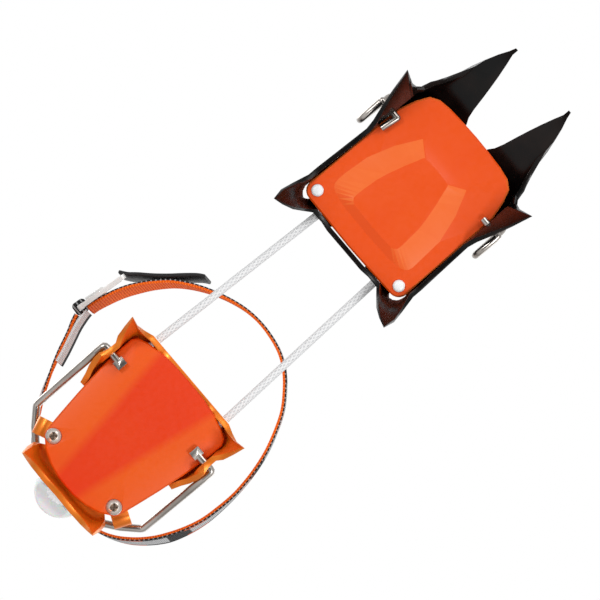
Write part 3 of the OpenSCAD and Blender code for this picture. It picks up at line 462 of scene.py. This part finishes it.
# %% Heel section
dressed("heel_frame", "heel_alloy", "heel_section", "orange_aluminium", alloy_orange, edge=0.0004)
dressed("heel_snow_shell", "heel_shell", "heel_section", "heel_shell_plastic", shell_heel, angle=30)
screws = dressed("shell_screws", "screws", "heel_section", "screw_steel", screw_steel, edge=0.0002)
paint(screws, screw_steel, recess_steel_painted_shade)
screw_x, screw_y = -0.138, 0.0234
recess_radius = 0.0021
recess_mouth, recess_floor = -0.0105, -0.0135
for face in screws.data.polygons:
    if math.hypot(face.center.x - screw_x, abs(face.center.y) - screw_y) > recess_radius:
        continue
    wall = abs(face.normal.z) < 0.98 and face.normal.z > -0.93
    bottom = face.center.z > recess_floor and face.normal.z < -0.9
    if face.center.z < recess_mouth and (wall or bottom):
        face.material_index = 1
dressed("shell_nuts", "nuts", "heel_section", "screw_steel", screw_steel, edge=0.0002)
dressed("heel_wire", "heel_bail", "heel_wire", "stainless_wire", wire_steel, edge=0.0007, segments=3,
        angle=62)

# %% Lever and its adjustment
dressed("lever_yoke", "yoke", "lever_yoke", "bar_aluminium", alloy_plain, edge=0.0004)
dressed("heel_lever", "lever", "lever", "lever_plastic", lever_plastic, edge=0.001, segments=4)
dressed("adjust_wheel", "wheel", "adjust_wheel", "wheel_plastic", wheel_plastic)
dressed("adjust_screw", "thumb_screw", "adjust_wheel", "screw_steel", screw_steel)

# %% Buckle
dressed("buckle_frame", "buckle", "lever", "buckle_steel", buckle_steel, edge=0.0005, segments=3)
dressed("buckle_cam", "cam", "buckle_cam", "buckle_steel", buckle_steel, edge=0.0004)

# %% [markdown]
# ## Link cord
# The cord is a 4 mm braided rope, held taut between the adjuster bar and the heel frame.
# A tube of rings follows its straight line, and the braid is a relief on the tube's own
# map, because threads this fine would cost millions of faces as geometry. The braid is
# painted darker where its relief is low, as painted shade.

# %% Braid finish
def wrapped_map(piece, start, end, radius):
    """A UV map in metres round a straight tube: U runs along it and V round it."""
    axis = (end - start).normalized()
    side_way = axis.cross(Vector((0, 0, 1))).normalized()
    top_way = side_way.cross(axis)
    layer = piece.data.uv_layers[0]
    for face in piece.data.polygons:
        middle = math.atan2((face.center - start).dot(top_way), (face.center - start).dot(side_way))
        for loop in face.loop_indices:
            place = piece.data.vertices[piece.data.loops[loop].vertex_index].co - start
            turn = math.atan2(place.dot(top_way), place.dot(side_way))
            turn += math.tau * round((middle - turn) / math.tau)
            layer.data[loop].uv = (place.dot(axis), turn * radius)

cord_radius = 0.002
plait_length = 0.0034
strands = 8
braid = Finish("white_braided_cord", 0.7, 0.0, Specular_IOR_Level=0.2)
cord_map = braid.node("ShaderNodeSeparateXYZ", (0, braid.place["UV"])).outputs
along = braid.maths("MULTIPLY", cord_map["X"], math.tau / plait_length)
around = braid.maths("MULTIPLY", cord_map["Y"], strands / cord_radius)
one_way = braid.maths("SINE", braid.maths("ADD", along, around))
other_way = braid.maths("SINE", braid.maths("SUBTRACT", along, around))
plait = braid.map(braid.maths("MAXIMUM", one_way, other_way), -0.6, 1.0)
# Painted shade: the braid is darker where its relief is low.
plait_painted_shade = braid.blend(plait, screen(204, 205, 207), screen(236, 236, 236))
soiled = braid.map(braid.spots(160, 2), 0.45, 0.8, 0, 0.3)
braid.colour(braid.blend(soiled, plait_painted_shade, screen(228, 229, 232)))
braid.relief(plait, 0.0002, 0.7)
print("braid of", 2 * strands, "strands")

# %% Two legs of the cord
cord_z = -0.0061
cord_sides, cord_rings = 20, 60
for side, label in ((-1, "left"), (1, "right")):
    rear = Vector((-0.0671, side * 0.0261, cord_z))
    front = Vector((0.0490, side * 0.02145, cord_z))
    bpy.ops.mesh.primitive_circle_add(vertices=cord_sides, radius=cord_radius, location=rear,
                                      rotation=(front - rear).to_track_quat("Z", "X").to_euler())
    leg = bpy.context.object
    leg.name = "link_cord_" + label
    bpy.ops.object.transform_apply(location=True, rotation=True, scale=True)
    bpy.ops.object.mode_set(mode="EDIT")
    bpy.ops.mesh.select_all(action="SELECT")
    for _ in range(cord_rings):
        bpy.ops.mesh.extrude_region_move(TRANSFORM_OT_translate={"value": (front - rear) / cord_rings})
    bpy.ops.mesh.select_all(action="SELECT")
    bpy.ops.mesh.select_non_manifold()
    bpy.ops.mesh.edge_face_add()
    bpy.ops.object.mode_set(mode="OBJECT")
    wrapped_map(leg, rear, front, cord_radius)
    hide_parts("link_cord")
    paint(leg, braid.material)
    smooth(leg, 60)
    seat(leg, "link")
    print(leg.name, round((front - rear).length * 1000, 1), "mm")

# %% [markdown]
# ## Ankle strap
# The strap is 15 mm webbing on edge, woven in two layers: orange ribs inside, and outside a
# pale face with dark borders and blocks. Each layer is an edge extruded along the route as a
# ribbon, and Solidify gives it its thickness to its own side of that route.

# %% Webbing finishes
class Webbing(Finish):
    """Woven tape on a map in metres: cross ribs of one pitch, and finer threads along it."""

    def __init__(self, name, rib_pitch, thread_pitch=0.0009):
        super().__init__(name, 0.72, 0.0, Specular_IOR_Level=0.2)
        place = self.node("ShaderNodeSeparateXYZ", (0, self.place["UV"])).outputs
        self.length, self.width = place["X"], place["Y"]
        self.rib = self.wave(self.length, rib_pitch)
        thread = self.wave(self.width, thread_pitch)
        self.weave = self.maths("ADD", self.rib, self.maths("MULTIPLY", thread, 0.35))
        self.relief(self.weave, 0.00016, 0.9)

    def wave(self, value, pitch):
        return self.maths("SINE", self.maths("MULTIPLY", value, math.tau / pitch))

inner = Webbing("orange_ribbed_webbing", 0.0014)
# Painted shade: the ribs are darker between their crests.
inner.colour(inner.blend(inner.map(inner.rib, -1, 1), screen(226, 82, 4), screen(255, 118, 24)))

outer = Webbing("pale_patterned_webbing", 0.0009)
cloth_dark = screen(30, 29, 30)
# Painted shade: the pale face is darker in the weave's hollows.
woven_painted_shade = outer.blend(outer.map(outer.weave, -1.2, 1.2), screen(168, 168, 170), screen(232, 232, 232))
blocks = outer.map(outer.wave(outer.length, 0.052), 0.72, 0.76)
dashes = outer.map(outer.wave(outer.length, 0.034), 0.35, 0.45)
border = outer.map(outer.maths("ABSOLUTE", outer.width), 0.0052, 0.0055)
outer.colour(outer.blend(border, outer.blend(blocks, woven_painted_shade, screen(36, 35, 36)),
                         outer.blend(dashes, cloth_dark, screen(208, 84, 22))))

rim = Webbing("webbing_edge", 0.0024)
rim.colour(rim.blend(rim.map(rim.rib, 0.3, 0.9), cloth_dark, screen(150, 150, 150)))

folded = Webbing("pale_folded_webbing", 0.0009)
# Painted shade: the fold's pale side is darker in the weave's hollows.
pale_side_painted_shade = folded.blend(folded.map(folded.weave, -1.2, 1.2), screen(226, 226, 227), screen(253, 253, 253))
folded.colour(folded.blend(folded.map(folded.width, 0.0026, 0.003), pale_side_painted_shade, screen(32, 31, 32)))
print("webbing", [made.material.name for made in (inner, outer, rim, folded)])

# %% Smooth route
def smooth_route(points, steps):
    """Points on one smooth curve through the given ones, which are in millimetres."""
    rows = [Vector(p) / 1000 for p in points]
    made = []
    for i in range(len(rows) - 1):
        a, b = rows[max(i - 1, 0)], rows[i]
        c, d = rows[i + 1], rows[min(i + 2, len(rows) - 1)]
        for k in range(steps):
            t = k / steps
            made.append(0.5 * (2 * b + (c - a) * t + (2 * a - 5 * b + 4 * c - d) * t * t
                               + (3 * b - a - 3 * c + d) * t ** 3))
    return made + [rows[-1]]

print("route through 3 points", len(smooth_route(((0, 0, 0), (1, 0, 0), (2, 1, 0)), 4)), "points")

# %% Ribbon helper
def ribbon(name, points, width, thick, lean, *materials, offset=0):
    """Tape on edge along the points, mapped in metres, in materials for face, back and rim.

    lean gives, at a point, how far the tape leans sideways per metre of its height.
    """
    bpy.ops.mesh.primitive_plane_add(size=width, location=points[0], rotation=(math.pi / 2, 0, 0))
    tape = bpy.context.object
    tape.name = name
    bpy.ops.object.transform_apply(location=True, rotation=True, scale=True)
    # The plane's rear edge goes, and its front edge becomes the tape's first one
    scene.tool_settings.mesh_select_mode = (True, False, False)
    for item in (*tape.data.polygons, *tape.data.edges):
        item.select = False
    for vertex in tape.data.vertices:
        vertex.select = vertex.co.x < points[0].x
    bpy.ops.object.mode_set(mode="EDIT")
    bpy.ops.mesh.delete(type="VERT")
    bpy.ops.mesh.select_all(action="SELECT")
    bpy.ops.transform.translate(value=(-width / 2, 0, 0))
    for a, b in zip(points, points[1:]):
        bpy.ops.mesh.extrude_region_move(TRANSFORM_OT_translate={"value": b - a})
    bpy.ops.object.mode_set(mode="OBJECT")
    run = [0.0]
    for a, b in zip(points, points[1:]):
        run.append(run[-1] + (b - a).length)
    spot = {}
    for vertex in tape.data.vertices:
        near = min(range(len(points)), key=lambda k: (points[k] - vertex.co).xy.length)
        height = vertex.co.z - points[near].z
        spot[vertex.index] = (run[near], height)
        vertex.co.y += lean(points[near]) * height
    for loop in tape.data.loops:
        tape.data.uv_layers[0].data[loop.index].uv = spot[loop.vertex_index]
    paint(tape, *materials)
    settle(tape, "SOLIDIFY", thickness=thick, offset=offset, material_offset=1, material_offset_rim=2)
    return tape

print("ribbon helper ready")

# %% [markdown]
# The route was measured on the photograph, from the buckle through the lever and round to
# the buckle again. The camera looks at the tape's lower edge, so how much of a face it sees depends
# on the lean: the tape leans inwards by the buckle, outwards on the opposite side, and
# stands upright in the lever.

# %% Ankle strap
strap_width = 0.015
strap_line = smooth_route((
    (-90.7, -62.4, 47), (-95, -60.6, 47.4), (-100, -58, 48), (-110, -54, 48), (-120, -49, 48),
    (-129, -44, 49), (-137, -38.5, 49), (-144, -33, 49), (-150, -27, 49), (-154, -21, 49),
    (-156.11, -15.5, 49), (-156.11, 0, 49), (-156.11, 15.5, 49), (-155, 22, 49), (-152, 31, 49),
    (-147, 39, 49), (-140, 46, 49), (-131, 52, 48), (-121, 56, 48), (-110, 58.5, 48),
    (-99, 59, 48), (-88, 58.5, 47), (-76, 56.5, 47), (-64, 53, 47), (-53, 48, 46),
    (-43, 42, 46), (-35, 34.5, 46), (-29, 27, 46), (-25, 19, 45), (-23, 10, 45),
    (-22.5, 0, 45), (-24, -10, 45), (-28, -21, 45), (-34, -32, 46), (-42, -42, 46),
    (-51, -49, 46), (-60, -54, 46), (-68, -57.2, 47), (-76, -59.3, 47), (-80.5, -60.2, 47),
    (-84.2, -60.5, 47)), 5)

def bearing(x, y):
    """Direction of a place in millimetres, seen from the middle of the strap's ring."""
    return math.atan2(y, x + 90)

# Places on the two parts of the route, and the lean there
lean_after_lever = [(bearing(x, y), lean) for x, y, lean in (
    (-84, -61, 0.27), (-60, -54, 0.32), (-42, -42, 0.25), (-29, -25, 0.13), (-22.5, 0, 0.05),
    (-43, 42, 0.04), (-88, 58.5, 0.06), (-110, 58.5, 0.16), (-128, 53, 0.28), (-145, 42, 0.22),
    (-153, 28, 0.05), (-156, 16, 0.0))] + [(math.pi, 0.0)]
lean_before_lever = [(-math.pi, 0.0)] + [(bearing(x, y), lean) for x, y, lean in (
    (-156, -16, 0.0), (-150, -27, -0.08), (-137, -38.5, -0.12), (-120, -49, -0.02),
    (-100, -58, 0.1), (-90, -62, 0.12))]

def strap_lean(place):
    """The strap's lean at a place on its route, from the nearest two stops."""
    x, y = place.x * 1000, place.y * 1000
    before = y <= -60.5 or (x < -84 and y < 0)
    stops = lean_before_lever if before else lean_after_lever
    angle = bearing(x, y)
    for (a, low), (b, high) in zip(stops, stops[1:]):
        if a <= angle <= b:
            return low + (high - low) * (angle - a) / (b - a)
    return stops[-1][1] if angle > stops[-1][0] else stops[0][1]

for name, offset, thick, cloth, edges in (
        ("strap_woven_layer", 1, 0.0007, outer.material, rim.material),
        ("strap_ribbed_layer", -1, 0.0012, inner.material, inner.material)):
    strap = ribbon(name, strap_line, strap_width, thick, strap_lean, cloth, cloth, edges, offset=offset)
    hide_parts("ankle_strap")
    smooth(strap, 30)
    seat(strap, "lever")
    print(name, len(strap.data.polygons), "faces")

# %% Sewn end of the strap
fold_line = smooth_route((
    (-85.2, -59.9, 47), (-88, -59.4, 47), (-94, -57.6, 47), (-100, -55.0, 47), (-107, -52.0, 47),
    (-113.4, -49.6, 47)), 4)
fold = ribbon("sewn_fold", fold_line, strap_width, 0.0012, lambda place: 0.24, folded.material)
smooth(fold, 30)
seat(fold, "lever")

dressed("strap_loop", "sewn_loop", "lever", "strap_webbing", rim.material)
bpy.ops.object.mode_set(mode="EDIT")
bpy.ops.mesh.select_all(action="SELECT")
bpy.ops.uv.cube_project(cube_size=1.0)
bpy.ops.object.mode_set(mode="OBJECT")

# %% Pull tab
tab_line = smooth_route((
    (-60.5, -63.4, 47), (-57.6, -59.6, 46.8), (-53.8, -56.2, 46.6), (-48.3, -50.8, 46.4),
    (-42.6, -45.8, 46.2), (-36.3, -40.8, 46), (-31.2, -36.4, 46), (-28.6, -33.2, 46)), 4)
tab = ribbon("pull_tab", tab_line, strap_width + 0.002, 0.0019, lambda place: 0.27, tab_plastic)
settle(tab, "BEVEL", width=0.0007, segments=3, limit_method="ANGLE", angle_limit=math.radians(50))
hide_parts("strap_tip")
smooth(tab, 35)
seat(tab, "lever")
print("pull tab", len(tab.data.polygons), "faces")

# %% Measure and finish
print("cad", [[round(c * 1000, 1) for c in v] for v in cad_box])
